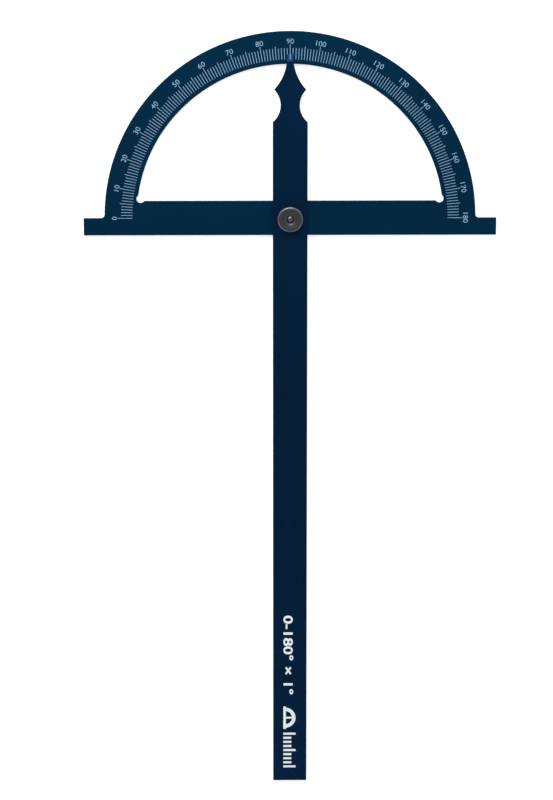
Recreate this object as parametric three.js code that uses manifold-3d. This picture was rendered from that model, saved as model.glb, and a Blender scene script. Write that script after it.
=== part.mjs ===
// Workshop protractor: a graduated half-ring plate with a base rail, and a long straight blade
// that turns on a clamped pivot stud.  Millimetres, lying flat on its back, +Z up.
// Origin: the pivot axis where it leaves the back of the plate.  +Y: the 90 degree mark.

import * as THREE from "three";
import { mergeGeometries, mergeVertices } from "three/addons/utils/BufferGeometryUtils.js";
import Module from "manifold-3d";

const wasm = await Module();
wasm.setup();

// ---- driving dimensions ----

// Scale plate: half-ring and rail in one sheet
const RING_RADIUS = 100;
const RING_WIDTH = 17.4;
const RAIL_WIDTH = 18.6;
const EAR_LENGTH = 11.3; // how far the rail runs out past the ring at each end
const EAR_FILLET = 2;
const PLATE_THICKNESS = 2;
const RELIEF_RADIUS = 2.2; // round relief at each inner corner of the window
const RELIEF_INTO_RAIL = 1.1;
const RELIEF_INTO_RING = 0.8;

// Engraved graduation, one mark per degree over the half circle
const MARK_START = 2.15; // from the ring's inner edge to the inner end of every mark
const DEGREE_MARK_LENGTH = 6.3;
const FIVE_MARK_LENGTH = 7.3;
const TEN_MARK_LENGTH = 8.2;
const MARK_WIDTH = 0.35;
const MARK_DEPTH = 0.1;

// Blade with its pointer
const BLADE_REACH = 320; // pivot to the far end
const BLADE_WIDTH = 18.7;
const BLADE_THICKNESS = 2;
const TIP_OVERLAP = 3.4; // how far the tip reaches over the marks
const TIP_WIDTH = 3.3;
const TIP_ROUND = 0.9;
const POINTER_LENGTH = 36.3; // shoulder to tip
const CUSP_LENGTH = 19; // cusp to tip
const CUSP_WIDTH = 17.2;
const NECK_DEPTH = 3.85; // sagitta of the round notch between shoulder and cusp
const FLANK_DEPTH = 1.9; // sagitta of the hollow flank between cusp and tip
const TIP_BEVEL_LENGTH = 4;
const TIP_EDGE_THICKNESS = 0.5;
const INDEX_MARK_WIDTH = 0.5;
const INDEX_MARK_START = 1.2; // along the bevel, from its upper edge

// Pivot stud: flat head let into the back of the plate, square neck, plain M4 shank
const SHANK_RADIUS = 2;
const HEAD_RADIUS = 4.5;
const HEAD_THICKNESS = 1;
const NECK_OVER_SHANK = 0.6; // the square neck's side, over the shank's diameter
const STUD_END_CHAMFER = 0.5;
const STUD_END_BELOW_NUT = 0.5; // below the nut's top face when clamped

// Washers and nut
const FRICTION_WASHER_RADIUS = 7;
const FRICTION_WASHER_THICKNESS = 0.3;
const WAVE_WASHER_RADIUS = 5;
const WAVE_STRIP_THICKNESS = 0.25;
const WAVE_HEIGHT = 0.15; // trough to crest, as clamped
const WAVES = 3;
const CLAMP_WASHER_RADIUS = 6;
const CLAMP_WASHER_THICKNESS = 0.5;
const NUT_RADIUS = 6.8;
const NUT_HEIGHT = 3.4;
const NUT_TOP_CHAMFER = 0.8;
const NUT_FOOT_CHAMFER = 0.4;
const NUT_COUNTERSINK = 0.77; // width and depth, round the bore
const KNURLS = 48;
const KNURL_DEPTH = 0.25;

// Clearances
const FACE_GAP = 0.02; // between stacked faces
const RUNNING_CLEARANCE = 0.08; // radial, blade and nut on the shank
const WASHER_CLEARANCE = 0.2; // radial, washers on the shank
const SEAT_CLEARANCE = 0.05; // head and square neck in the plate

// Fineness
const CHORD_ERROR = 0.02;
const TURNED_SEGMENTS = 48;
const CUT_OVERRUN = 1; // cutters run this far past the face they open

// ---- levels and radii that follow ----

const RAIL_TOP = RAIL_WIDTH / 2;
const RAIL_BOTTOM = -RAIL_WIDTH / 2;
const RAIL_END = RING_RADIUS + EAR_LENGTH;
const WINDOW_RADIUS = RING_RADIUS - RING_WIDTH;
const MARK_INNER_RADIUS = WINDOW_RADIUS + MARK_START;
const TIP_Y = MARK_INNER_RADIUS + TIP_OVERLAP;

const PLATE_TOP = PLATE_THICKNESS;
const FRICTION_WASHER_Z = PLATE_TOP + FACE_GAP;
const BLADE_Z = FRICTION_WASHER_Z + FRICTION_WASHER_THICKNESS + FACE_GAP;
const BLADE_TOP = BLADE_Z + BLADE_THICKNESS;
const WAVE_WASHER_Z = BLADE_TOP + FACE_GAP;
const CLAMP_WASHER_Z = WAVE_WASHER_Z + WAVE_STRIP_THICKNESS + WAVE_HEIGHT + FACE_GAP;
const NUT_Z = CLAMP_WASHER_Z + CLAMP_WASHER_THICKNESS + FACE_GAP;
const STUD_TOP = NUT_Z + NUT_HEIGHT - STUD_END_BELOW_NUT;
const SEAT_DEPTH = HEAD_THICKNESS + FACE_GAP;
const NECK_SIDE = 2 * SHANK_RADIUS + NECK_OVER_SHANK;
const NECK_TOP = PLATE_TOP - FACE_GAP;

// ---- solids ----

function toSolid(geometry) {
  const bare = geometry.index ? geometry.toNonIndexed() : geometry.clone();
  bare.deleteAttribute("normal");
  bare.deleteAttribute("uv");
  const merged = mergeVertices(bare, 1e-4);
  const vertProperties = merged.attributes.position.array;
  const triVerts = new Uint32Array(merged.index.array);
  return new wasm.Manifold(new wasm.Mesh({ numProp: 3, vertProperties, triVerts }));
}

function toGeometry(solid) {
  const mesh = solid.getMesh();
  const geometry = new THREE.BufferGeometry();
  geometry.setAttribute("position", new THREE.BufferAttribute(mesh.vertProperties, 3));
  geometry.setIndex(new THREE.BufferAttribute(mesh.triVerts, 1));
  return geometry;
}

function cutAway(geometry, cutters) {
  return toGeometry(cutters.reduce((left, cutter) => left.subtract(toSolid(cutter)), toSolid(geometry)));
}

// Points along an arc from one angle to another, close enough that no chord strays from it.
function arcPoints(x, y, radius, from, to) {
  const step = 2 * Math.acos(1 - CHORD_ERROR / radius);
  const count = Math.max(2, Math.ceil(Math.abs(to - from) / step));
  return Array.from({ length: count + 1 }, (_, i) => {
    const angle = from + ((to - from) * i) / count;
    return new THREE.Vector2(x + radius * Math.cos(angle), y + radius * Math.sin(angle));
  });
}

// Points along the arc between two ends that bows to the left of the way from a to b.
function bowedArc(a, b, depth) {
  const half = a.distanceTo(b) / 2;
  const radius = (half * half + depth * depth) / (2 * depth);
  const along = b.clone().sub(a).normalize();
  const left = new THREE.Vector2(-along.y, along.x);
  const centre = a.clone().add(b).multiplyScalar(0.5).addScaledVector(left, depth - radius);
  const from = a.clone().sub(centre).angle();
  const sweep = 2 * Math.asin(half / radius);
  return arcPoints(centre.x, centre.y, radius, from, from - sweep);
}

function sheet(points, bottom, thickness, holes = []) {
  const shape = new THREE.Shape(points);
  shape.holes = holes.map((hole) => new THREE.Path(hole));
  const geometry = new THREE.ExtrudeGeometry(shape, { depth: thickness, bevelEnabled: false });
  return geometry.translate(0, 0, bottom);
}

function circle(radius) {
  return Array.from({ length: TURNED_SEGMENTS }, (_, i) => {
    const angle = (2 * Math.PI * i) / TURNED_SEGMENTS;
    return new THREE.Vector2(radius * Math.cos(angle), radius * Math.sin(angle));
  });
}

// A solid turned about Z from pairs of radius and height that run up the outside.
function turned(profile) {
  const points = profile.map(([radius, height]) => new THREE.Vector2(radius, height));
  return new THREE.LatheGeometry(points, TURNED_SEGMENTS).rotateX(Math.PI / 2);
}

function cylinder(radius, bottom, top) {
  return turned([[0, bottom], [radius, bottom], [radius, top], [0, top]]);
}

function flatRing(inner, outer, bottom, thickness) {
  const top = bottom + thickness;
  return turned([[inner, bottom], [outer, bottom], [outer, top], [inner, top], [inner, bottom]]);
}

function block(width, length, bottom, top) {
  return new THREE.BoxGeometry(width, length, top - bottom).translate(0, 0, (bottom + top) / 2);
}

// ---- scale plate ----

function plateOutline() {
  const filletX = Math.sqrt((RING_RADIUS + EAR_FILLET) ** 2 - EAR_FILLET ** 2);
  const ringStart = Math.atan2(EAR_FILLET, filletX);
  const rightFillet = arcPoints(filletX, EAR_FILLET, EAR_FILLET, 1.5 * Math.PI, Math.PI + ringStart);
  const ring = arcPoints(0, 0, RING_RADIUS, ringStart, Math.PI - ringStart).slice(1, -1);
  const leftFillet = rightFillet.map((p) => new THREE.Vector2(-p.x, p.y)).reverse();
  return [
    new THREE.Vector2(-RAIL_END, RAIL_BOTTOM),
    new THREE.Vector2(RAIL_END, RAIL_BOTTOM),
    new THREE.Vector2(RAIL_END, 0),
    ...rightFillet,
    ...ring,
    ...leftFillet,
    new THREE.Vector2(-RAIL_END, 0),
  ];
}

function windowCutter() {
  const corner = Math.asin(RAIL_TOP / WINDOW_RADIUS);
  const outline = arcPoints(0, 0, WINDOW_RADIUS, corner, Math.PI - corner);
  return sheet(outline, -CUT_OVERRUN, PLATE_THICKNESS + 2 * CUT_OVERRUN);
}

function reliefCutter(side) {
  const y = RAIL_TOP + RELIEF_RADIUS - RELIEF_INTO_RAIL;
  const reach = WINDOW_RADIUS - RELIEF_RADIUS + RELIEF_INTO_RING;
  const x = side * Math.sqrt(reach ** 2 - y ** 2);
  return cylinder(RELIEF_RADIUS, -CUT_OVERRUN, PLATE_TOP + CUT_OVERRUN).translate(x, y, 0);
}

function markLength(degree) {
  if (degree % 10 === 0) return TEN_MARK_LENGTH;
  return degree % 5 === 0 ? FIVE_MARK_LENGTH : DEGREE_MARK_LENGTH;
}

// All the marks as one cutter; 0 lies on -X and 180 on +X.
function graduationCutter() {
  const marks = Array.from({ length: 181 }, (_, degree) => {
    const length = markLength(degree);
    return block(length, MARK_WIDTH, PLATE_TOP - MARK_DEPTH, PLATE_TOP + CUT_OVERRUN)
      .translate(MARK_INNER_RADIUS + length / 2, 0, 0)
      .rotateZ(THREE.MathUtils.degToRad(180 - degree));
  });
  return mergeGeometries(marks);
}

function scalePlate() {
  const neckHole = NECK_SIDE + 2 * SEAT_CLEARANCE;
  return cutAway(sheet(plateOutline(), 0, PLATE_THICKNESS), [
    windowCutter(),
    reliefCutter(-1),
    reliefCutter(1),
    cylinder(HEAD_RADIUS + SEAT_CLEARANCE, -CUT_OVERRUN, SEAT_DEPTH),
    block(neckHole, neckHole, 0, PLATE_TOP + CUT_OVERRUN),
    graduationCutter(),
  ]);
}

// ---- blade ----

function bladeOutline() {
  const side = BLADE_WIDTH / 2;
  const shoulder = new THREE.Vector2(side, TIP_Y - POINTER_LENGTH);
  const cusp = new THREE.Vector2(CUSP_WIDTH / 2, TIP_Y - CUSP_LENGTH);
  const tip = new THREE.Vector2(TIP_WIDTH / 2, TIP_Y - TIP_ROUND);
  const right = [
    new THREE.Vector2(side, -BLADE_REACH),
    ...bowedArc(shoulder, cusp, NECK_DEPTH),
    ...bowedArc(cusp, tip, FLANK_DEPTH).slice(1),
    ...arcPoints(tip.x - TIP_ROUND, tip.y, TIP_ROUND, 0, Math.PI / 2).slice(1),
  ];
  return [...right, ...right.map((p) => new THREE.Vector2(-p.x, p.y)).reverse()];
}

// Lays a cutter on the tip's bevel, starting a given way down the slope.
function onBevel(cutter, length, start) {
  const slope = Math.atan2(BLADE_THICKNESS - TIP_EDGE_THICKNESS, TIP_BEVEL_LENGTH);
  const down = cutter.translate(0, start + length / 2, 0).rotateX(-slope);
  return down.translate(0, TIP_Y - TIP_BEVEL_LENGTH, BLADE_TOP);
}

// The wedge that thins the tip, and the index mark cut along its slope.
function tipCutters() {
  const length = 2 * TIP_BEVEL_LENGTH;
  const wedge = block(CUSP_WIDTH, length, 0, 2 * BLADE_THICKNESS);
  const mark = block(INDEX_MARK_WIDTH, length, -MARK_DEPTH, CUT_OVERRUN);
  return [onBevel(wedge, length, 0), onBevel(mark, length, INDEX_MARK_START)];
}

function blade() {
  const bore = circle(SHANK_RADIUS + RUNNING_CLEARANCE);
  return cutAway(sheet(bladeOutline(), BLADE_Z, BLADE_THICKNESS, [bore]), tipCutters());
}

// ---- pivot stud, washers and nut ----

function pivotStud() {
  const head = cylinder(HEAD_RADIUS, 0, HEAD_THICKNESS);
  const neck = block(NECK_SIDE, NECK_SIDE, HEAD_THICKNESS / 2, NECK_TOP);
  const shank = turned([
    [0, HEAD_THICKNESS / 2],
    [SHANK_RADIUS, HEAD_THICKNESS / 2],
    [SHANK_RADIUS, STUD_TOP - STUD_END_CHAMFER],
    [SHANK_RADIUS - STUD_END_CHAMFER, STUD_TOP],
    [0, STUD_TOP],
  ]);
  return toGeometry(toSolid(head).add(toSolid(neck)).add(toSolid(shank)));
}

function washer(outer, bottom, thickness) {
  return flatRing(SHANK_RADIUS + WASHER_CLEARANCE, outer, bottom, thickness);
}

function frictionWasher() {
  return washer(FRICTION_WASHER_RADIUS, FRICTION_WASHER_Z, FRICTION_WASHER_THICKNESS);
}

function clampWasher() {
  return washer(CLAMP_WASHER_RADIUS, CLAMP_WASHER_Z, CLAMP_WASHER_THICKNESS);
}

// A flat ring bent into even waves round its circle.
function waveWasher() {
  const geometry = washer(WAVE_WASHER_RADIUS, WAVE_WASHER_Z, WAVE_STRIP_THICKNESS);
  const at = geometry.attributes.position;
  for (let i = 0; i < at.count; i += 1) {
    const angle = Math.atan2(at.getY(i), at.getX(i));
    at.setZ(i, at.getZ(i) + (WAVE_HEIGHT * (1 + Math.sin(WAVES * angle))) / 2);
  }
  return geometry;
}

function knurledBar() {
  const outline = Array.from({ length: 2 * KNURLS }, (_, i) => {
    const radius = i % 2 ? NUT_RADIUS : NUT_RADIUS - KNURL_DEPTH;
    const angle = (Math.PI * i) / KNURLS;
    return new THREE.Vector2(radius * Math.cos(angle), radius * Math.sin(angle));
  });
  return sheet(outline, NUT_Z - CUT_OVERRUN, NUT_HEIGHT + 2 * CUT_OVERRUN);
}

function thumbNut() {
  const bore = SHANK_RADIUS + RUNNING_CLEARANCE;
  const top = NUT_Z + NUT_HEIGHT;
  const blank = turned([
    [bore, NUT_Z],
    [NUT_RADIUS - NUT_FOOT_CHAMFER, NUT_Z],
    [NUT_RADIUS, NUT_Z + NUT_FOOT_CHAMFER],
    [NUT_RADIUS, top - NUT_TOP_CHAMFER],
    [NUT_RADIUS - NUT_TOP_CHAMFER, top],
    [bore + NUT_COUNTERSINK, top],
    [bore, top - NUT_COUNTERSINK],
    [bore, NUT_Z],
  ]);
  return toGeometry(toSolid(knurledBar()).intersect(toSolid(blank)));
}

// ---- materials ----

function metal(color, roughness, metalness) {
  return new THREE.MeshStandardMaterial({ color, roughness, metalness });
}

const blueAnodised = metal(0x06304c, 0.45, 0.6);
const darkBlueAnodised = metal(0x072440, 0.45, 0.6);
const blackenedSteel = metal(0x3c3c41, 0.35, 0.9);
const brightSteel = metal(0xb4b6b8, 0.25, 1);
const springSteel = metal(0x8c8e90, 0.35, 1);
const nylon = metal(0xd8d4c8, 0.6, 0);

// ---- assembly ----

const group = new THREE.Group();

function addPart(name, geometry, material) {
  const mesh = new THREE.Mesh(geometry, material);
  mesh.name = name;
  group.add(mesh);
}

addPart("scale_plate", scalePlate(), blueAnodised);
addPart("blade", blade(), darkBlueAnodised);
addPart("pivot_stud", pivotStud(), brightSteel);
addPart("friction_washer", frictionWasher(), nylon);
addPart("wave_washer", waveWasher(), springSteel);
addPart("clamp_washer", clampWasher(), springSteel);
addPart("thumb_nut", thumbNut(), blackenedSteel);

export default group;
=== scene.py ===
"""Finished pieces, materials and studio of a workshop protractor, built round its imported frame."""

import math

import bpy
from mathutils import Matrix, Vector


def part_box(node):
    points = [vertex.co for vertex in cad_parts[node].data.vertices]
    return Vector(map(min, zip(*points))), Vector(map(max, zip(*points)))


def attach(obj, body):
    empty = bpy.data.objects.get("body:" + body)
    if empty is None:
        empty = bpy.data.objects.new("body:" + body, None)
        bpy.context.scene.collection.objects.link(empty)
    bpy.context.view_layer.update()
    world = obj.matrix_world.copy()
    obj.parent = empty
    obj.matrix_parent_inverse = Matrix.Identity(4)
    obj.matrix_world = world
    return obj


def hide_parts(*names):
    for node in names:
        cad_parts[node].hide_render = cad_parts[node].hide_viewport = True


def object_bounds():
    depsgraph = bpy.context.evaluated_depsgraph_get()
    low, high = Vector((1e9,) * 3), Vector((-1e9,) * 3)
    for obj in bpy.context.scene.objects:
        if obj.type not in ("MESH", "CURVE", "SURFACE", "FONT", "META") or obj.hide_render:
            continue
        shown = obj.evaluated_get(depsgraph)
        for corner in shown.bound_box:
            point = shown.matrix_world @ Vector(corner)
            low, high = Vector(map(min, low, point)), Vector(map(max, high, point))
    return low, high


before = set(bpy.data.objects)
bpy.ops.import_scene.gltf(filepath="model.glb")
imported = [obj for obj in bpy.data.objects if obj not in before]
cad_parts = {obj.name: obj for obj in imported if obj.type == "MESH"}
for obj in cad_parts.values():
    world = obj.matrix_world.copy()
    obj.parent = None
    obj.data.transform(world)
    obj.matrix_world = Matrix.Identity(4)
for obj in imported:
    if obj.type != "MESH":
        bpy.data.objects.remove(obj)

bl_info = {
    "name": "Workshop Protractor",
    "version": (1, 0, 0),
    "blender": (4, 5, 0),
    "location": "View3D > Sidebar > Protractor",
    "description": "Builds the plate, blade, pivot fittings and studio of a workshop protractor",
    "category": "Object",
}

# ---- what the frame says ----

CAD_LOW, CAD_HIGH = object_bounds()
PLATE_LOW, PLATE_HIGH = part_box("scale_plate")
BLADE_LOW, BLADE_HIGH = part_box("blade")
STUD_LOW, STUD_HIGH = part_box("pivot_stud")
NUT_LOW, NUT_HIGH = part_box("thumb_nut")

MM = 0.001
OVERRUN = 1 * MM  # a cutter runs this far past the face that it opens
NEAR = 0.01 * MM  # two places closer than this are one
DOUBLED = NEAR / 10  # two vertices closer than this were made twice at one place

# ---- sizes and colours that a user would change ----


def length(name, description, default, least=0):
    """A length in metres, shown in the scene's unit."""
    return bpy.props.FloatProperty(
        name=name, description=description, default=default, min=least, precision=5,
        subtype="DISTANCE", unit="LENGTH",
    )


def colour(name, description, default):
    """A linear colour with a picker."""
    return bpy.props.FloatVectorProperty(
        name=name, description=description, default=default, size=3, min=0, max=1,
        subtype="COLOR",
    )


class PlateSizes(bpy.types.PropertyGroup):
    """Sizes of the half-ring plate and its graduation."""

    ring_width: length("Ring width", "Radial width of the half-ring", 17.4 * MM)
    ear_fillet: length("Ear fillet", "Radius where the ring meets the ears", 2 * MM)
    relief_radius: length("Relief radius", "Round relief in each window corner", 2.2 * MM)
    relief_into_rail: length("Relief into rail", "Depth of the relief in the rail", 1.1 * MM)
    relief_into_ring: length("Relief into ring", "Depth of the relief in the ring", 0.8 * MM)
    head_seat: length("Head seat", "Radius of the seat for the stud's head", 4.55 * MM)
    seat_depth: length("Seat depth", "Depth of the seat in the back", 1.02 * MM)
    neck_hole: length("Neck hole", "Side of the square hole", 4.7 * MM)
    edge_round: length("Edge rounding", "Rounding of the deburred edges", 0.15 * MM)
    mark_start: length("Mark start", "From the ring's inner edge to the marks", 2.35 * MM)
    degree_mark: length("Degree mark", "Length of a one degree mark", 6.1 * MM)
    five_mark: length("Five degree mark", "Length of a five degree mark", 7.1 * MM)
    ten_mark: length("Ten degree mark", "Length of a ten degree mark", 8 * MM)
    mark_width: length("Mark width", "Width of a mark", 0.27 * MM)
    mark_depth: length("Mark depth", "Depth of the marks and numerals", 0.06 * MM)
    numeral_height: length("Numeral height", "Height of the numerals", 2.7 * MM)
    numeral_weight: length(
        "Numeral weight", "Added to each side of a numeral's strokes", -0.03 * MM, least=-1 * MM
    )
    numeral_stretch: bpy.props.FloatProperty(
        name="Numeral stretch", description="Width of the numerals over the font's own",
        default=1.08, min=0.5, max=2,
    )
    numeral_gap: length("Numeral gap", "From the ten degree marks to the numerals", 0.35 * MM)


class BladeSizes(bpy.types.PropertyGroup):
    """Sizes of the blade, its pointer and its printing."""

    pointer_length: length("Pointer length", "Shoulder to tip", 36.3 * MM)
    cusp_length: length("Cusp length", "Cusp to tip", 19 * MM)
    cusp_width: length("Cusp width", "Across the two cusps", 17.2 * MM)
    tip_width: length("Tip width", "Across the tip", 3.3 * MM)
    tip_round: length("Tip rounding", "Rounding of the tip's corners", 0.9 * MM)
    neck_depth: length("Neck depth", "Depth of the round notches", 3.85 * MM)
    flank_depth: length("Flank depth", "Depth of the hollow flanks", 1.9 * MM)
    bevel_length: length("Tip bevel", "Length of the bevel at the tip", 4 * MM)
    tip_edge: length("Tip edge", "Thickness left at the tip", 0.5 * MM)
    index_width: length("Index width", "Width of the index mark", 0.5 * MM)
    index_start: length("Index start", "From the bevel's upper edge to the mark", 1.2 * MM)
    index_depth: length("Index depth", "Depth of the index mark", 0.06 * MM)
    bore: length("Bore", "Radius of the hole for the stud", 2.08 * MM)
    edge_round: length("Edge rounding", "Rounding of the deburred edges", 0.15 * MM)
    print_film: length("Print film", "Thickness of the printing", 0.03 * MM)
    print_edge: length("Print edge", "Baseline of the printing, left of the middle", 3.64 * MM)
    range_start: length("Range start", "From the pivot to the range lettering", 222.9 * MM)
    range_length: length("Range length", "Length of the range lettering", 46.1 * MM)
    range_height: length("Range height", "Height of the range lettering", 5.58 * MM)
    sign_start: length("Sign start", "From the pivot to the pictogram", 276.1 * MM)
    sign_length: length("Sign length", "Length of the pictogram", 36.2 * MM)
    sign_height: length("Sign height", "Height of the pictogram", 6.9 * MM)


class FittingSizes(bpy.types.PropertyGroup):
    """Sizes of the stud, washers and nut."""

    shank: length("Shank", "Radius of the stud's shank", 2 * MM)
    head_thickness: length("Head thickness", "Thickness of the stud's head", 1 * MM)
    neck_side: length("Neck side", "Side of the stud's square neck", 4.6 * MM)
    dome_radius: length("Dome radius", "Radius at the foot of the stud's domed end", 1.55 * MM)
    dome_height: length("Dome height", "Height of the stud's domed end", 0.45 * MM)
    point_length: length("Point length", "Length of the taper under the dome", 0.4 * MM)
    nut_bore: length("Nut bore", "Radius of the nut's bore", 2.08 * MM)
    countersink: length("Countersink", "Width and depth of the nut's countersink", 0.77 * MM)
    rim_round: length("Rim rounding", "Rounding of the nut's upper rim", 0.85 * MM)
    nut_radius: length("Nut radius", "Radius of the nut over its knurling", 6.8 * MM)
    foot_chamfer: length("Foot chamfer", "Chamfer at the nut's foot", 0.4 * MM)
    knurl_depth: length("Knurl depth", "Depth of the straight knurling", 0.25 * MM)
    washer_bore: length("Washer bore", "Radius of the washers' holes", 2.2 * MM)
    wave_strip: length("Wave strip", "Thickness of the wave washer's strip", 0.25 * MM)
    knurls: bpy.props.IntProperty(
        name="Knurls", description="Ridges round the nut", default=48, min=12, max=90
    )
    waves: bpy.props.IntProperty(
        name="Waves", description="Waves round the spring washer", default=3, min=2, max=6
    )


class FinishColours(bpy.types.PropertyGroup):
    """Colours of the finishes."""

    plate: colour("Plate", "Blue finish of the plate", (0.0011, 0.030, 0.072))
    blade: colour("Blade", "Dark blue finish of the blade", (0.0019, 0.0196, 0.059))
    scale_ink: colour("Scale ink", "Fill of the marks and numerals", (0.34, 0.56, 0.75))
    index_ink: colour("Index ink", "Blue fill of the index mark", (0.15, 0.33, 0.56))
    print_ink: colour("Print ink", "Printing on the blade", (0.84, 0.93, 1.0))
    nut: colour("Nut", "Blackened steel of the nut", (0.088, 0.090, 0.100))
    # the worn nut colour is finger wear on the knurling and also a painted highlight that lightens
    # the nut's rim and wall
    worn_nut: colour("Worn nut", "Nut's knurling, rubbed by fingers", (0.20, 0.21, 0.24))
    stud: colour("Stud", "Steel of the stud", (0.13, 0.13, 0.135))
    washer: colour("Washer", "Plated steel of the washers", (0.45, 0.46, 0.47))
    nylon: colour("Nylon", "Natural nylon of the friction washer", (0.68, 0.66, 0.60))
    floor: colour("Floor", "Plain floor", (0.86, 0.86, 0.86))


class StudioSettings(bpy.types.PropertyGroup):
    """Camera, lights and floor."""

    camera_place: bpy.props.FloatVectorProperty(
        name="Camera place", description="Where the camera stands",
        default=(-0.0219, 0.1914, 1.3397), subtype="TRANSLATION", unit="LENGTH", precision=4,
    )
    camera_turn: bpy.props.FloatVectorProperty(
        name="Camera turn", description="Tilt, pan and roll of the camera, applied roll first",
        default=(math.radians(-12.306), math.radians(-0.608), math.radians(-0.156)),
        subtype="EULER", unit="ROTATION",
    )
    focal_length: bpy.props.FloatProperty(
        name="Focal length", description="Focal length on a 36 mm sensor, in millimetres",
        default=112.5, min=10, max=300,
    )
    floor_side: length("Floor side", "Side of the square floor", 8)
    floor_glow: bpy.props.FloatProperty(
        name="Floor glow", description="Light that the translucent floor gives from below",
        default=0.6, min=0, max=4,
    )
    tent_light: bpy.props.FloatProperty(
        name="Tent light", description="Brightness of the light tent's walls",
        default=0.85, min=0, max=10,
    )
    tent_opening: bpy.props.FloatProperty(
        name="Tent opening", description="Brightness of the opening overhead",
        default=0.22, min=0, max=10,
    )
    key_power: bpy.props.FloatProperty(
        name="Key power", description="Power of the softbox behind the ring, in watts",
        default=14, min=0, max=1000,
    )
    top_power: bpy.props.FloatProperty(
        name="Top power", description="Power of the softbox overhead, in watts",
        default=1.1, min=0, max=1000,
    )
    front_power: bpy.props.FloatProperty(
        name="Front power", description="Power of the softbox past the blade's end, in watts",
        default=0.8, min=0, max=1000,
    )


# ---- modelling by hand ----

CAP_HEIGHT = 0.691  # height of the built-in lettering's figures, of its size
FOLD = 2 * NEAR  # a changed weight can leave folds up to this size in the letters' sharp corners
FLAT_ANGLE = math.radians(0.1)  # faces that meet at less than this are one flat face


def deselect():
    """Leaves edit mode and selects nothing."""
    if bpy.context.mode != "OBJECT":
        bpy.ops.object.mode_set(mode="OBJECT")
    bpy.ops.object.select_all(action="DESELECT")


def pick(piece):
    """Makes a piece the only one selected, and the active one."""
    deselect()
    piece.select_set(True)
    bpy.context.view_layer.objects.active = piece


def edit(piece):
    """Opens a piece in edit mode with everything selected."""
    pick(piece)
    bpy.ops.object.mode_set(mode="EDIT")
    bpy.ops.mesh.select_mode(type="VERT")
    bpy.ops.mesh.select_all(action="SELECT")


def choose(piece, kind, wanted):
    """In edit mode, selects only the vertices or edges that pass a test."""
    bpy.ops.mesh.select_mode(type={"vertices": "VERT", "edges": "EDGE"}[kind])
    bpy.ops.mesh.select_all(action="DESELECT")
    bpy.ops.object.mode_set(mode="OBJECT")
    for element in getattr(piece.data, kind):
        element.select = wanted(element)
    bpy.ops.object.mode_set(mode="EDIT")


def settle(piece):
    """Puts a piece's place, turn and size into its mesh."""
    pick(piece)
    bpy.ops.object.transform_apply(location=True, rotation=True, scale=True)
    return piece


def block(low, high):
    """A box from one corner to the other."""
    size = [abs(a - b) for a, b in zip(low, high)]
    deselect()
    bpy.ops.mesh.primitive_cube_add(size=1, location=(Vector(low) + Vector(high)) / 2)
    bpy.context.object.scale = size
    return settle(bpy.context.object)


def disc(radius, bottom, top, sides, x=0, y=0):
    """A flat-ended round bar."""
    deselect()
    bpy.ops.mesh.primitive_cylinder_add(
        vertices=sides, radius=radius, depth=top - bottom, location=(x, y, (bottom + top) / 2)
    )
    return settle(bpy.context.object)


def combine(piece, tool, operation="DIFFERENCE", finish=None):
    """Cuts a tool away from a piece or joins it on. Faces cut with a finish take that finish."""
    if finish:
        tool.data.materials.append(finish)
    pick(piece)
    modifier = piece.modifiers.new("combine", "BOOLEAN")
    modifier.object = tool
    modifier.operation = operation
    modifier.solver = "EXACT"
    modifier.material_mode = "TRANSFER" if finish else "INDEX"
    bpy.ops.object.modifier_apply(modifier=modifier.name)
    bpy.data.objects.remove(tool)
    return piece


def round_corner(piece, centre, radius, hand):
    """Rounds an upright corner on a piece's +Y end: the right one if hand is 1, the left if -1."""
    x, y = centre
    bottom, top = extent(piece, 2)
    reach = radius + OVERRUN
    waste = block((x, y, bottom - OVERRUN), (x + hand * reach, y + reach, top + OVERRUN))
    combine(waste, disc(radius, bottom - 2 * OVERRUN, top + 2 * OVERRUN, HOLE_SIDES, x, y))
    return combine(piece, waste)


def clean(piece, merge=NEAR):
    """Merges doubled vertices and takes out the edges that divide flat faces."""
    edit(piece)
    bpy.ops.mesh.remove_doubles(threshold=merge)
    bpy.ops.mesh.dissolve_limited(angle_limit=FLAT_ANGLE)
    bpy.ops.mesh.normals_make_consistent(inside=False)
    bpy.ops.object.mode_set(mode="OBJECT")
    return piece


def round_edges(piece, width, steps=3, angle=40):
    """Rounds every edge that turns by more than an angle."""
    pick(piece)
    modifier = piece.modifiers.new("edges", "BEVEL")
    modifier.width = width
    modifier.segments = steps
    modifier.limit_method = "ANGLE"
    modifier.angle_limit = math.radians(angle)
    modifier.use_clamp_overlap = False
    bpy.ops.object.modifier_apply(modifier=modifier.name)
    return piece


def turned_copy(piece, angle):
    """A copy with its own mesh, turned round the Z axis."""
    pick(piece)
    bpy.ops.object.duplicate()
    bpy.context.object.rotation_euler.z = angle
    return settle(bpy.context.object)


def join(pieces):
    """Makes one object of several, in the first one's name."""
    deselect()
    for piece in pieces:
        piece.select_set(True)
    bpy.context.view_layer.objects.active = pieces[0]
    bpy.ops.object.join()
    return settle(bpy.context.object)


def turned(profile, steps):
    """A solid of revolution: a profile of radius and height, extruded point by point and spun."""
    deselect()
    bpy.ops.mesh.primitive_plane_add(size=1)
    piece = bpy.context.object
    edit(piece)
    bpy.ops.mesh.merge(type="CENTER")
    here = Vector((0, 0, 0))
    for number, (radius, height) in enumerate(profile):
        there = Vector((radius, 0, height))
        if number:
            bpy.ops.mesh.extrude_region_move(TRANSFORM_OT_translate={"value": there - here})
        else:
            bpy.ops.transform.translate(value=there - here)
        here = there
    bpy.ops.mesh.select_all(action="SELECT")
    bpy.ops.mesh.spin(steps=steps, angle=2 * math.pi, center=(0, 0, 0), axis=(0, 0, 1))
    bpy.ops.mesh.select_all(action="SELECT")
    bpy.ops.mesh.remove_doubles(threshold=DOUBLED)
    bpy.ops.mesh.normals_make_consistent(inside=False)
    bpy.ops.object.mode_set(mode="OBJECT")
    return piece


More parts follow.
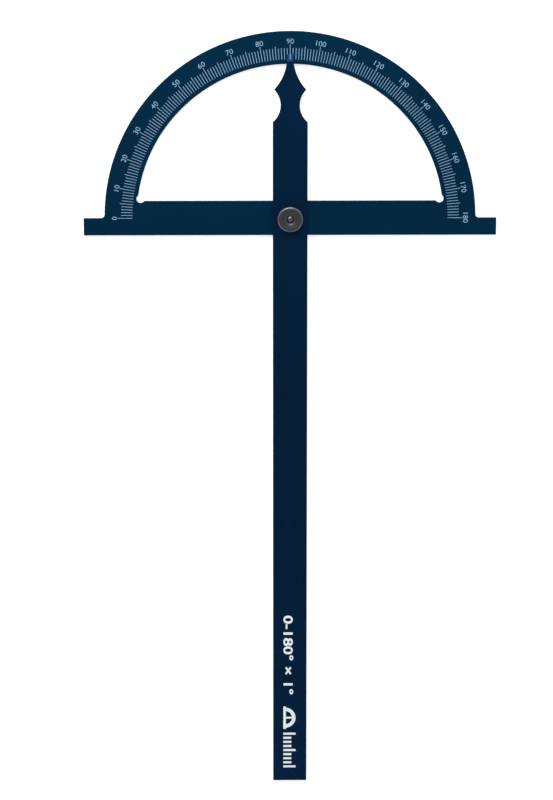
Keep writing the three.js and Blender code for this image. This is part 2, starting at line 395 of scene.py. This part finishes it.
def lettering(body, size, thickness, weight=0):
    """Solid lettering that stands on the X axis, centred on the origin."""
    deselect()
    bpy.ops.object.text_add()
    text = bpy.context.object.data
    text.body = body
    text.size = size
    text.align_x = "CENTER"
    text.extrude = thickness / 2
    text.offset = weight
    text.resolution_u = 4
    bpy.ops.object.convert(target="MESH")
    piece = bpy.context.object
    edit(piece)
    bpy.ops.mesh.remove_doubles(threshold=FOLD)
    bpy.ops.object.mode_set(mode="OBJECT")
    return piece


def extent(piece, axis):
    """Lowest and highest coordinate of a piece along an axis."""
    values = [vertex.co[axis] for vertex in piece.data.vertices]
    return min(values), max(values)


def deliver(piece, name, body, finishes, nodes=(), smooth=12):
    """Names a finished piece, smooths it, gives it its finishes and fixes it to its body."""
    pick(piece)
    piece.name = name
    piece.data.name = name
    if not piece.data.materials:
        for finish in finishes:
            piece.data.materials.append(finish)
    bpy.ops.object.shade_smooth_by_angle(angle=math.radians(smooth))
    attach(piece, body)
    if nodes:
        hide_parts(*nodes)
    deselect()
    return piece


# ---- shader maths ----


class Value:
    """One output of a node tree. Arithmetic on it adds the Math nodes."""

    def __init__(self, nodes, socket):
        self.nodes = nodes
        self.socket = socket

    def math(self, operation, *values):
        return self.nodes.node("ShaderNodeMath", {"operation": operation}, dict(enumerate(values)))

    def __add__(self, other):
        return self.math("ADD", self, other)

    def __radd__(self, other):
        return self.math("ADD", other, self)

    def __sub__(self, other):
        return self.math("SUBTRACT", self, other)

    def __rsub__(self, other):
        return self.math("SUBTRACT", other, self)

    def __mul__(self, other):
        return self.math("MULTIPLY", self, other)

    def __rmul__(self, other):
        return self.math("MULTIPLY", other, self)

    def __pow__(self, other):
        return self.math("POWER", self, other)


class Nodes:
    """The node tree of a material or a world."""

    def __init__(self, owner, final):
        owner.use_nodes = True
        self.tree = owner.node_tree
        self.final = self.tree.nodes[final]

    def feed(self, socket, value):
        """Links a value to the tree's shader."""
        self.tree.links.new(value.socket, self.final.inputs[socket])

    def constants(self, **values):
        """Sets the shader's own sockets."""
        for socket, value in values.items():
            self.final.inputs[socket.replace("_", " ")].default_value = value

    def split(self, vector):
        """The three components of a vector."""
        first = self.node("ShaderNodeSeparateXYZ", None, {"Vector": vector})
        return [Value(self, output) for output in first.socket.node.outputs]

    def masked(self, value, low, high):
        """0 below low, 1 above high and a straight ramp between them."""
        inputs = {"Value": value, "From Min": low, "From Max": high}
        return self.node("ShaderNodeMapRange", {"clamp": True}, inputs)

    def node(self, kind, settings=None, inputs=None, output=0):
        """Adds a node, makes its settings, then fills its sockets with values or links."""
        node = self.tree.nodes.new(kind)
        for name, value in (settings or {}).items():
            setattr(node, name, value)
        for name, value in (inputs or {}).items():
            if isinstance(value, Value):
                self.tree.links.new(value.socket, node.inputs[name])
            else:
                node.inputs[name].default_value = value
        return Value(self, node.outputs[output])


class Finish(Nodes):
    """A material round one Principled shader, with Object coordinates at hand."""

    def __init__(self, name, **constants):
        self.material = bpy.data.materials.new(name)
        super().__init__(self.material, "Principled BSDF")
        self.constants(**constants)
        self.place = self.node("ShaderNodeTexCoord", output="Object")

    def noise(self, scale, detail, squeeze=(1, 1, 1)):
        """Smooth noise of so many cells to the metre, times a factor along each axis."""
        place = self.node("ShaderNodeMapping", None, {"Vector": self.place, "Scale": squeeze})
        inputs = {"Vector": place, "Scale": scale, "Detail": detail}
        return self.node("ShaderNodeTexNoise", None, inputs)

    def mix(self, share, first, second):
        """One colour into another by a share. The node's colour sockets have numbers, not names."""
        inputs = {"Factor": share, 6: first, 7: second}
        return self.node("ShaderNodeMix", {"data_type": "RGBA"}, inputs, output=2)

    def bump(self, height, distance):
        """Feeds a height, in units of a distance in metres, to the surface's normal."""
        inputs = {"Height": height, "Distance": distance, "Strength": 1}
        self.feed("Normal", self.node("ShaderNodeBump", None, inputs))


def shade(value, factor):
    """A colour made lighter or darker, as RGBA."""
    return (*[min(channel * factor, 1) for channel in value], 1)


def anodised(name, base, squeeze):
    """Satin blue metal: fine grain, faint clouds, and a roughness that follows both. The grain runs
    along an axis that has a factor under 1."""
    finish = Finish(name, Metallic=0.6, Specular_IOR_Level=0.05)
    grain = finish.noise(3200, 4, squeeze)
    cloud = finish.noise(14, 3)
    speck = finish.noise(5200, 2)
    tone = grain * 0.6 + cloud * 0.6 + speck * 0.3 - 0.75
    finish.feed("Base Color", finish.mix(
        finish.masked(tone, -0.4, 0.4), shade(base, 0.7), shade(base, 1.3)
    ))
    finish.feed("Roughness", 0.22 + grain * 0.16 + cloud * 0.08)
    finish.bump(grain * 0.6 + speck * 0.4, 0.012 * MM)
    return finish.material


def filled_ink(name, base):
    """Matt paint rubbed into the engraving, a little uneven."""
    finish = Finish(name, Specular_IOR_Level=0.25)
    mottle = finish.noise(2600, 3)
    patch = finish.noise(90, 2)
    finish.feed("Base Color", finish.mix(
        finish.masked(mottle * 0.6 + patch * 0.4, 0.35, 0.65), shade(base, 0.86), shade(base, 1.1)
    ))
    finish.feed("Roughness", 0.55 + mottle * 0.15)
    finish.bump(mottle, 0.01 * MM)
    return finish.material


def turned_steel(name, base, rough, worn_and_sheen=None, wear_and_sheen_from=0):
    """Steel with the fine concentric marks of the lathe, in a colour that varies with them. Beyond a
    radius it can turn to a brighter colour, with a ragged border: part wear, part painted highlight."""
    finish = Finish(name, Metallic=1.0)
    x, y, _ = finish.split(finish.place)
    radius = (x * x + y * y) ** 0.5
    turn_marks = 9000  # radians to the metre, which is a mark every 0.7 mm
    wave = radius.math("SINE", radius * turn_marks) * 0.5 + 0.5
    smear = finish.noise(700, 3)
    tone = wave * 0.35 + smear * 0.65
    steel = finish.mix(finish.masked(tone, 0.2, 0.8), shade(base, 0.78), shade(base, 1.25))
    # beyond this radius the steel turns brighter: partly finger wear, partly a painted highlight on
    # the rim
    if worn_and_sheen:
        border, ragged = 0.3 * MM, 0.4 * MM
        wear_and_sheen_mask = finish.masked(radius + smear * ragged, wear_and_sheen_from, wear_and_sheen_from + border)
        steel = finish.mix(wear_and_sheen_mask, steel, shade(worn_and_sheen, 1))
    finish.feed("Base Color", steel)
    finish.feed("Roughness", rough + smear * 0.12)
    finish.bump(wave, 0.003 * MM)
    return finish.material


def plated_steel(name, base):
    """Zinc plate with a fine even bloom."""
    finish = Finish(name, Metallic=1.0)
    bloom = finish.noise(1800, 4)
    finish.feed("Base Color", finish.mix(
        finish.masked(bloom, 0.3, 0.7), shade(base, 0.8), shade(base, 1.15)
    ))
    finish.feed("Roughness", 0.28 + bloom * 0.2)
    return finish.material


def natural_nylon(name, base):
    """Punched nylon sheet, faintly mottled."""
    finish = Finish(name, Subsurface_Weight=0.1)
    mottle = finish.noise(900, 3)
    finish.feed("Base Color", finish.mix(
        finish.masked(mottle, 0.3, 0.7), shade(base, 0.92), shade(base, 1.05)
    ))
    finish.feed("Roughness", 0.45 + mottle * 0.15)
    finish.bump(mottle, 0.01 * MM)
    return finish.material


# ---- the scale plate ----

RING_SIDES = 720
HOLE_SIDES = 64
ROUND_STEPS = 8
CUT_MERGE = 5 * NEAR  # cuts that meet closer than this share a corner


def bore_tool(radius, bottom, top, lip):
    """Cuts a round hole through a sheet and breaks both of its edges."""
    low, high = bottom - OVERRUN, top + OVERRUN
    wide = radius + lip + OVERRUN
    profile = [
        (0, low),
        (wide, low),
        (radius, bottom + lip),
        (radius, top - lip),
        (wide, high),
        (0, high),
    ]
    return turned(profile, HOLE_SIDES)


def half_disc(radius, base, bottom, top):
    """The part of a round bar beyond a line y = base."""
    reach = 2 * radius
    rest = block((-reach, -reach, bottom - OVERRUN), (reach, base, top + OVERRUN))
    return combine(disc(radius, bottom, top, RING_SIDES), rest)


def plate_blank(sizes):
    """The half-ring and rail as one sheet, with square edges."""
    bottom, top = PLATE_LOW.z, PLATE_HIGH.z
    ring_radius, rail_end = PLATE_HIGH.y, PLATE_HIGH.x
    rail_top = -PLATE_LOW.y
    foot = 1.2 * sizes.ear_fillet  # the ring's foot is straight this far, for the fillet to run on
    foot_x = math.sqrt(ring_radius**2 - foot**2)
    piece = half_disc(ring_radius, foot, bottom, top)
    combine(piece, block((-foot_x, PLATE_LOW.y, bottom), (foot_x, foot, top)), "UNION")
    combine(piece, block((-rail_end, PLATE_LOW.y, bottom), (rail_end, 0, top)), "UNION")
    clean(piece)
    fillet_ears(piece, foot_x, sizes.ear_fillet)
    window = ring_radius - sizes.ring_width
    combine(piece, half_disc(window, rail_top, bottom - OVERRUN, top + OVERRUN))
    relief_y = rail_top + sizes.relief_radius - sizes.relief_into_rail
    reach = window - sizes.relief_radius + sizes.relief_into_ring
    relief_x = math.sqrt(reach**2 - relief_y**2)
    for x in (-relief_x, relief_x):
        relief = disc(sizes.relief_radius, bottom - OVERRUN, top + OVERRUN, HOLE_SIDES, x, relief_y)
        combine(piece, relief)
    combine(piece, disc(sizes.head_seat, bottom - OVERRUN, bottom + sizes.seat_depth, HOLE_SIDES))
    half = sizes.neck_hole / 2
    combine(piece, block((-half, -half, bottom), (half, half, top + OVERRUN)))
    return clean(piece, CUT_MERGE)


def fillet_ears(piece, x, radius):
    """Rounds the two inner corners where the ring's foot meets the ears."""
    points = piece.data.vertices

    def is_corner(edge):
        ends = [points[index].co for index in edge.vertices]
        upright = abs(ends[0].z - ends[1].z) > NEAR
        return upright and all(abs(abs(p.x) - x) < NEAR and abs(p.y) < NEAR for p in ends)

    edit(piece)
    choose(piece, "edges", is_corner)
    bpy.ops.mesh.bevel(offset=radius, segments=ROUND_STEPS, affect="EDGES", clamp_overlap=False)
    bpy.ops.object.mode_set(mode="OBJECT")


def from_upright(degree):
    """The turn in radians from +Y to a graduation; 0 degrees lies on -X and 180 on +X."""
    return math.radians(90 - degree)


def mark_cutter(sizes):
    """One bar for each degree of the half circle, half sunk in the plate."""
    start = PLATE_HIGH.y - sizes.ring_width + sizes.mark_start
    half, depth = sizes.mark_width / 2, sizes.mark_depth

    def upright_bar(size):
        low = (-half, start, PLATE_HIGH.z - depth)
        return block(low, (half, start + size, PLATE_HIGH.z + depth))

    models = {
        10: upright_bar(sizes.ten_mark),
        5: upright_bar(sizes.five_mark),
        1: upright_bar(sizes.degree_mark),
    }
    bars = []
    for degree in range(181):
        step = next(step for step in models if degree % step == 0)
        bars.append(turned_copy(models[step], from_upright(degree)))
    for bar in models.values():
        bpy.data.objects.remove(bar)
    return join(bars)


def numeral_cutter(sizes):
    """The numerals at every ten degrees, with their tops outward."""
    start = PLATE_HIGH.y - sizes.ring_width + sizes.mark_start
    baseline = start + sizes.ten_mark + sizes.numeral_gap
    size, thickness = sizes.numeral_height / CAP_HEIGHT, 2 * sizes.mark_depth
    numerals = []
    for degree in range(0, 181, 10):
        numeral = lettering(str(degree), size, thickness, sizes.numeral_weight)
        left, right = extent(numeral, 0)
        numeral.scale.x = sizes.numeral_stretch
        numeral.location = (-numeral.scale.x * (left + right) / 2, baseline, PLATE_HIGH.z)
        settle(numeral)
        numeral.rotation_euler.z = from_upright(degree)
        numerals.append(settle(numeral))
    return join(numerals)


class ScalePlate(bpy.types.Operator):
    """Builds the half-ring plate with its engraved and filled graduation"""

    bl_idname = "protractor.scale_plate"
    bl_label = "Scale plate"

    def execute(self, context):
        sizes, colours = context.scene.plate_sizes, context.scene.finish_colours
        blue = anodised("blue_anodised", colours.plate, (1, 1, 1))
        ink = filled_ink("scale_ink", colours.scale_ink)
        piece = plate_blank(sizes)
        round_edges(piece, sizes.edge_round)
        piece.data.materials.append(blue)
        combine(piece, mark_cutter(sizes), finish=ink)
        combine(piece, numeral_cutter(sizes), finish=ink)
        deliver(piece, "graduated_plate", "base", [], ["scale_plate"])
        return {"FINISHED"}


# ---- the blade ----


def hollow(ends, depth, bottom, top):
    """A round bar whose side passes through two points of the outline and cuts to a depth between
    them. It lies on the right of the way from the first to the second."""
    first, second = Vector(ends[0]), Vector(ends[1])
    half = (second - first).length / 2
    radius = (half**2 + depth**2) / (2 * depth)
    along = (second - first).normalized()
    right = Vector((along.y, -along.x))
    middle = (first + second) / 2 + right * (radius - depth)
    return disc(radius, bottom, top, RING_SIDES, middle.x, middle.y)


def blade_blank(sizes):
    """The blade's outline with its pointer, with square edges."""
    bottom, top = BLADE_LOW.z, BLADE_HIGH.z
    side, tip_y = BLADE_HIGH.x, BLADE_HIGH.y
    piece = block(BLADE_LOW, BLADE_HIGH)
    for hand in (1, -1):
        shoulder = (hand * side, tip_y - sizes.pointer_length)
        cusp = (hand * sizes.cusp_width / 2, tip_y - sizes.cusp_length)
        tip = (hand * sizes.tip_width / 2, tip_y - sizes.tip_round)
        for ends, depth in (((shoulder, cusp), sizes.neck_depth), ((cusp, tip), sizes.flank_depth)):
            way = ends if hand > 0 else ends[::-1]
            combine(piece, hollow(way, depth, bottom - OVERRUN, top + OVERRUN))
        corner = (hand * (sizes.tip_width / 2 - sizes.tip_round), tip_y - sizes.tip_round)
        round_corner(piece, corner, sizes.tip_round, hand)
    return clean(piece, CUT_MERGE)


def on_bevel(tool, sizes):
    """Lays a tool, made flat at the origin, on the slope of the pointer's tip."""
    fall = (BLADE_HIGH.z - BLADE_LOW.z) - sizes.tip_edge
    tool.rotation_euler = (-math.atan2(fall, sizes.bevel_length), 0, 0)
    tool.location = (0, BLADE_HIGH.y - sizes.bevel_length, BLADE_HIGH.z)
    return settle(tool)


class Blade(bpy.types.Operator):
    """Builds the long blade with its bevelled pointer and index mark"""

    bl_idname = "protractor.blade"
    bl_label = "Blade"

    def execute(self, context):
        sizes, colours = context.scene.blade_sizes, context.scene.finish_colours
        dark = anodised("dark_blue_anodised", colours.blade, (1, 0.03, 1))
        ink = filled_ink("index_ink", colours.index_ink)
        piece = blade_blank(sizes)
        round_edges(piece, sizes.edge_round)
        combine(piece, bore_tool(sizes.bore, BLADE_LOW.z, BLADE_HIGH.z, sizes.edge_round))
        piece.data.materials.append(dark)
        run = 2 * sizes.bevel_length
        wedge = block((-BLADE_HIGH.x, 0, 0), (BLADE_HIGH.x, run, run))
        combine(piece, on_bevel(wedge, sizes))
        half = sizes.index_width / 2
        line = block((-half, sizes.index_start, -sizes.index_depth), (half, run, OVERRUN))
        combine(piece, on_bevel(line, sizes), finish=ink)
        deliver(piece, "pointer_blade", "arm", [], ["blade"])
        return {"FINISHED"}


# ---- printing on the blade ----


def along_blade(piece, start, edge):
    """Turns flat printing to read down the blade and lays it on the blade's face."""
    piece.rotation_euler = (0, 0, -math.pi / 2)
    piece.location = (-edge, -start, BLADE_HIGH.z)
    return settle(piece)


def fitted(piece, width, height):
    """Stretches flat printing to a width and a height, from the origin on."""
    left, right = extent(piece, 0)
    low, high = extent(piece, 1)
    piece.scale = (width / (right - left), height / (high - low), 1)
    piece.location = (-left * piece.scale[0], -low * piece.scale[1], 0)
    return settle(piece)


def pictogram(width, height, film):
    """A small half-ring and rail beside a row of graduation bars, as one flat print."""
    rail = 0.14 * height
    radius = height - rail
    window = 0.66 * radius
    rail_end = 1.12 * radius
    needle_side, needle_tip = 0.09 * radius, 0.8 * radius
    ring = half_disc(radius, 0, 0, film)
    combine(ring, half_disc(window, -OVERRUN, -film, 2 * film))
    combine(ring, block((-rail_end, -rail, 0), (rail_end, 0.5 * rail, film)), "UNION")
    combine(ring, block((-needle_side, -rail, 0), (needle_side, needle_tip, film)), "UNION")
    parts = [clean(ring)]
    bars, tall_every = 9, 4
    tall, short = radius, 0.6 * radius
    first = 1.5 * radius
    pitch = (width - rail_end - first) / (bars - 0.5)  # half of it is bar and half is gap
    for number in range(bars):
        x = first + number * pitch
        bar_top = short if number % tall_every else tall
        parts.append(block((x, -rail, 0), (x + 0.5 * pitch, bar_top, film)))
    return join(parts)


class BladePrint(bpy.types.Operator):
    """Prints the range and a pictogram on the blade's far end"""

    bl_idname = "protractor.blade_print"
    bl_label = "Blade printing"

    def execute(self, context):
        sizes, colours = context.scene.blade_sizes, context.scene.finish_colours
        white = filled_ink("print_ink", colours.print_ink)
        film = 2 * sizes.print_film  # half of it is sunk in the blade's face
        bolder = 0.12 * MM
        words = lettering("0-180° × 1°", sizes.range_height, film, bolder)
        fitted(words, sizes.range_length, sizes.range_height)
        along_blade(words, sizes.range_start, sizes.print_edge)
        deliver(words, "range_print", "arm", [white])
        sign = pictogram(sizes.sign_length, sizes.sign_height, film)
        sign.location.z = -film / 2
        settle(sign)
        fitted(sign, sizes.sign_length, sizes.sign_height)
        along_blade(sign, sizes.sign_start, sizes.print_edge)
        deliver(sign, "pictogram_print", "arm", [white])
        return {"FINISHED"}


# ---- stud, washers and nut ----

TURNED_STEPS = 96
PUNCHED_EDGE = 0.04 * MM  # rounding of the thin washers' edges
CLAMP_EDGE = 0.08 * MM  # rounding of the clamp washer's edges
KNURL_ROWS = 4  # rows of the nut's wall to each knurl


def arc(centre, radius, start, end, steps):
    """Points of a profile along an arc, from one angle in degrees to another."""
    turns = [math.radians(start + (end - start) * i / steps) for i in range(steps + 1)]
    return [(centre[0] + radius * math.cos(t), centre[1] + radius * math.sin(t)) for t in turns]


class PivotStud(bpy.types.Operator):
    """Turns the pivot stud with its flush head, square neck and domed end"""

    bl_idname = "protractor.pivot_stud"
    bl_label = "Pivot stud"

    def execute(self, context):
        sizes, colours = context.scene.fitting_sizes, context.scene.finish_colours
        head, top = STUD_HIGH.x, STUD_HIGH.z
        seat = STUD_LOW.z + sizes.head_thickness
        shoulder = top - sizes.dome_height
        swell = (sizes.dome_radius**2 + sizes.dome_height**2) / (2 * sizes.dome_height)
        spread = math.degrees(math.asin(sizes.dome_radius / swell))
        dome = arc((0, top - swell), swell, 90 - spread, 90, ROUND_STEPS)
        lip = 0.15 * MM
        profile = [
            (0, STUD_LOW.z),
            (head - lip, STUD_LOW.z),
            (head, STUD_LOW.z + lip),
            (head, seat),
            (sizes.shank, seat),
            (sizes.shank, shoulder - sizes.point_length),
            *dome[:-1],
            (0, top),
        ]
        piece = turned(profile, TURNED_STEPS)
        half = sizes.neck_side / 2
        root = seat - 0.3 * MM  # inside the head, so that the two join
        neck_end = PLATE_HIGH.z - 0.02 * MM
        neck = block((-half, -half, root), (half, half, neck_end))
        clean(combine(piece, neck, "UNION"))
        steel = turned_steel("turned_stud_steel", colours.stud, rough=0.28)
        deliver(piece, "pivot_bolt", "base", [steel], ["pivot_stud"], smooth=30)
        return {"FINISHED"}


def punched_ring(bore, radius, bottom, top, rounding):
    """A flat ring with rounded edges."""
    profile = [(bore, bottom), (radius, bottom), (radius, top), (bore, top), (bore, bottom)]
    return round_edges(turned(profile, TURNED_STEPS), rounding, 2)


def flat_washer(node, bore, rounding):
    """A flat ring as thick and wide as a node of the frame."""
    low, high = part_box(node)
    return punched_ring(bore, high.x, low.z, high.z, rounding)


def wave_washer(sizes):
    """A flat ring bent into even waves round its circle."""
    low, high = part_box("wave_washer")
    top = low.z + sizes.wave_strip
    piece = punched_ring(sizes.washer_bore, high.x, low.z, top, PUNCHED_EDGE)
    swing = (high.z - top) / 2
    edit(piece)
    for step in range(TURNED_STEPS):
        angle = 2 * math.pi * step / TURNED_STEPS
        across = Vector((-math.sin(angle), math.cos(angle), 0))
        along = Vector((math.cos(angle), math.sin(angle), 0))
        choose(piece, "vertices", lambda v: abs(v.co.dot(across)) < NEAR and v.co.dot(along) > 0)
        bpy.ops.transform.translate(value=(0, 0, swing * (1 + math.sin(sizes.waves * angle))))
    bpy.ops.object.mode_set(mode="OBJECT")
    return piece


class Washers(bpy.types.Operator):
    """Makes the nylon friction washer, the wave washer and the clamp washer"""

    bl_idname = "protractor.washers"
    bl_label = "Washers"

    def execute(self, context):
        sizes, colours = context.scene.fitting_sizes, context.scene.finish_colours
        nylon = natural_nylon("natural_nylon", colours.nylon)
        zinc = plated_steel("zinc_plate", colours.washer)
        friction = flat_washer("friction_washer", sizes.washer_bore, PUNCHED_EDGE)
        deliver(friction, "nylon_washer", "base", [nylon], ["friction_washer"])
        clamp = flat_washer("clamp_washer", sizes.washer_bore, CLAMP_EDGE)
        deliver(clamp, "steel_washer", "lift", [zinc], ["clamp_washer"])
        deliver(wave_washer(sizes), "spring_washer", "arm", [zinc], ["wave_washer"])
        return {"FINISHED"}


def nut_profile(sizes):
    """The nut's section, from the foot of its bore round to the same point."""
    radius, bore, sink = sizes.nut_radius, sizes.nut_bore, sizes.countersink
    foot, top = NUT_LOW.z, NUT_HIGH.z
    lip_width, lip_depth = 0.1 * MM, 0.04 * MM  # the broken edge of the countersink
    rim_centre = (radius - sizes.rim_round, top - sizes.rim_round)
    return [
        (bore, foot),
        (radius - sizes.foot_chamfer, foot),
        (radius, foot + sizes.foot_chamfer),
        *arc(rim_centre, sizes.rim_round, 0, 90, ROUND_STEPS),
        (bore + sink + lip_width, top),
        (bore + sink, top - lip_depth),
        (bore, top - sink),
        (bore, foot),
    ]


def knurl(piece, sizes):
    """Draws the first of each knurl's rows in towards the axis, between the chamfer and the rim."""
    low = NUT_LOW.z + sizes.foot_chamfer - NEAR
    high = NUT_HIGH.z - sizes.rim_round + NEAR
    pitch = 2 * math.pi / sizes.knurls

    def is_groove(vertex):
        x, y, z = vertex.co
        on_wall = math.hypot(x, y) > sizes.nut_radius - NEAR and low < z < high
        turn = (math.atan2(y, x) / pitch) % 1
        return on_wall and min(turn, 1 - turn) < 0.5 / KNURL_ROWS

    edit(piece)
    choose(piece, "vertices", is_groove)
    drawn = 1 - sizes.knurl_depth / sizes.nut_radius
    bpy.ops.transform.resize(value=(drawn, drawn, 1), center_override=(0, 0, 0))
    bpy.ops.object.mode_set(mode="OBJECT")


class ThumbNut(bpy.types.Operator):
    """Turns and knurls the round nut"""

    bl_idname = "protractor.thumb_nut"
    bl_label = "Thumb nut"

    def execute(self, context):
        sizes, colours = context.scene.fitting_sizes, context.scene.finish_colours
        piece = turned(nut_profile(sizes), KNURL_ROWS * sizes.knurls)
        knurl(piece, sizes)
        wear_and_sheen_from = sizes.nut_radius - 0.6 * sizes.rim_round  # part way over the rounded rim, where finger wear and a painted highlight begin
        black = turned_steel("blackened_steel", colours.nut, 0.3, colours.worn_nut, wear_and_sheen_from)
        deliver(piece, "knurled_nut", "nut", [black], ["thumb_nut"], smooth=30)
        return {"FINISHED"}


# ---- the studio ----

SOFTBOXES = {  # where each stands, its width and height, and the setting that holds its power
    "key_softbox": ((-0.25, 1, 1.05), (0.8, 0.55), "key_power"),
    "top_softbox": ((0, 0.08, 2), (0.6, 0.3), "top_power"),
    "front_softbox": ((0, -1.15, 2), (0.6, 0.3), "front_power"),
}
OPENING_RIM = (0.55, 0.85)  # the tent dims between these heights, where straight up is 1


class Studio(bpy.types.Operator):
    """Lays the floor, hangs the lights and sets up the camera"""

    bl_idname = "protractor.studio"
    bl_label = "Studio"

    def execute(self, context):
        settings, colours = context.scene.studio_settings, context.scene.finish_colours
        self.floor(settings, colours)
        self.tent(context.scene, settings)
        for name, (place, size, power) in SOFTBOXES.items():
            self.softbox(name, place, size, getattr(settings, power))
        self.camera(context.scene, settings)
        context.scene.view_settings.view_transform = "Standard"
        return {"FINISHED"}

    def floor(self, settings, colours):
        deselect()
        place = (0, 0, CAD_LOW.z - NEAR)
        bpy.ops.mesh.primitive_plane_add(size=settings.floor_side, location=place)
        floor = bpy.context.object
        floor.name = "floor"
        finish = Finish(
            "white_floor", Base_Color=(*colours.floor, 1), Roughness=0.8, Specular_IOR_Level=0.1,
            Emission_Color=(1, 1, 1, 1), Emission_Strength=settings.floor_glow,
        )
        floor.data.materials.append(finish.material)

    def tent(self, scene, settings):
        """White walls all round, with a dim opening overhead for the camera."""
        scene.world = bpy.data.worlds.new("light_tent")
        tent = Nodes(scene.world, "Background")
        tent.constants(Color=(1, 1, 1, 1))
        upward = tent.split(tent.node("ShaderNodeTexCoord", output="Generated"))[2]
        opening = tent.masked(upward, *OPENING_RIM)
        fall = settings.tent_light - settings.tent_opening
        tent.feed("Strength", settings.tent_light - opening * fall)

    def softbox(self, name, place, size, power):
        """A rectangular softbox that faces the pivot."""
        bpy.ops.object.light_add(type="AREA", location=place)
        lamp = bpy.context.object
        lamp.name = name
        lamp.rotation_mode = "QUATERNION"
        lamp.rotation_quaternion = (-lamp.location).to_track_quat("-Z", "Y")
        lamp.data.shape = "RECTANGLE"
        lamp.data.size, lamp.data.size_y = size
        lamp.data.energy = power

    def camera(self, scene, settings):
        bpy.ops.object.camera_add(location=settings.camera_place)
        camera = bpy.context.object
        camera.rotation_mode = "ZYX"
        camera.rotation_euler = settings.camera_turn
        camera.data.sensor_width = 36
        camera.data.lens = settings.focal_length
        camera.data.clip_end = 20
        scene.camera = camera


# ---- panel and registration ----

OPERATORS = (ScalePlate, Blade, BladePrint, PivotStud, Washers, ThumbNut, Studio)
GROUPS = {
    "plate_sizes": PlateSizes,
    "blade_sizes": BladeSizes,
    "fitting_sizes": FittingSizes,
    "finish_colours": FinishColours,
    "studio_settings": StudioSettings,
}


class ProtractorPanel(bpy.types.Panel):
    """Lists the protractor's pieces and their sizes"""

    bl_idname = "VIEW3D_PT_protractor"
    bl_label = "Workshop Protractor"
    bl_space_type = "VIEW_3D"
    bl_region_type = "UI"
    bl_category = "Protractor"

    def draw(self, context):
        for operator in OPERATORS:
            self.layout.operator(operator.bl_idname)
        for name in GROUPS:
            group = getattr(context.scene, name)
            box = self.layout.box()
            for prop in group.__annotations__:
                box.prop(group, prop)


def register():
    for group in GROUPS.values():
        bpy.utils.register_class(group)
    for name, group in GROUPS.items():
        setattr(bpy.types.Scene, name, bpy.props.PointerProperty(type=group))
    for operator in OPERATORS:
        bpy.utils.register_class(operator)
    bpy.utils.register_class(ProtractorPanel)


def unregister():
    bpy.utils.unregister_class(ProtractorPanel)
    for operator in reversed(OPERATORS):
        bpy.utils.unregister_class(operator)
    for name in GROUPS:
        delattr(bpy.types.Scene, name)
    for group in reversed(list(GROUPS.values())):
        bpy.utils.unregister_class(group)


def main():
    register()
    bpy.ops.protractor.studio()
    bpy.ops.protractor.scale_plate()
    bpy.ops.protractor.blade()
    bpy.ops.protractor.blade_print()
    bpy.ops.protractor.pivot_stud()
    bpy.ops.protractor.washers()
    bpy.ops.protractor.thumb_nut()


if __name__ == "__main__":
    main()
